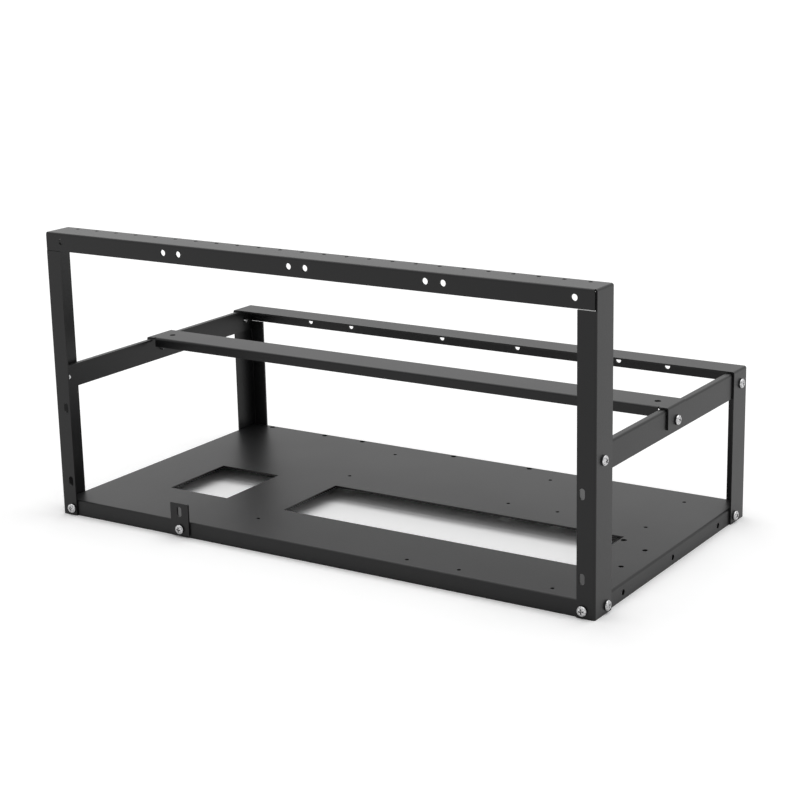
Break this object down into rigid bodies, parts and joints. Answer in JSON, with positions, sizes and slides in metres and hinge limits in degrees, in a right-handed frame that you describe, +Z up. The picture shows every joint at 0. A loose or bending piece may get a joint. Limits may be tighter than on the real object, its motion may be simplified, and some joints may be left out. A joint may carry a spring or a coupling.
{
  "type": "graphics card holder rack",
  "caption": "Open rack of folded sheet steel that stands on a table and holds a row of graphics cards above a computer main board tray.",
  "frame": {"origin": "on the floor under the middle of the rack, at the bottom centre of its box", "axes": "+X to the right along the long side, +Y from the tall front hoop to the low rear hoop, +Z up"},
  "size_m": [0.5042, 0.2722, 0.239],
  "materials": {
    "black_coated_steel": "satin black powder coat",
    "plated_steel": "bright plated"
  },
  "bodies": {
    "root": {"front_frame": "black_coated_steel", "rear_frame": "black_coated_steel", "left_side_rail": "black_coated_steel", "right_side_rail": "black_coated_steel", "middle_rail": "black_coated_steel", "base_tray": "black_coated_steel", "front_bracket": "black_coated_steel", "front_left_foot_screws": "plated_steel", "front_right_foot_screws": "plated_steel", "rear_left_foot_screws": "plated_steel", "rear_right_foot_screws": "plated_steel", "left_rail_ends_screws": "plated_steel", "right_rail_ends_screws": "plated_steel", "middle_rail_left_screws": "plated_steel", "middle_rail_right_screws": "plated_steel", "bracket_screws": "plated_steel"}
  },
  "joints": []
}
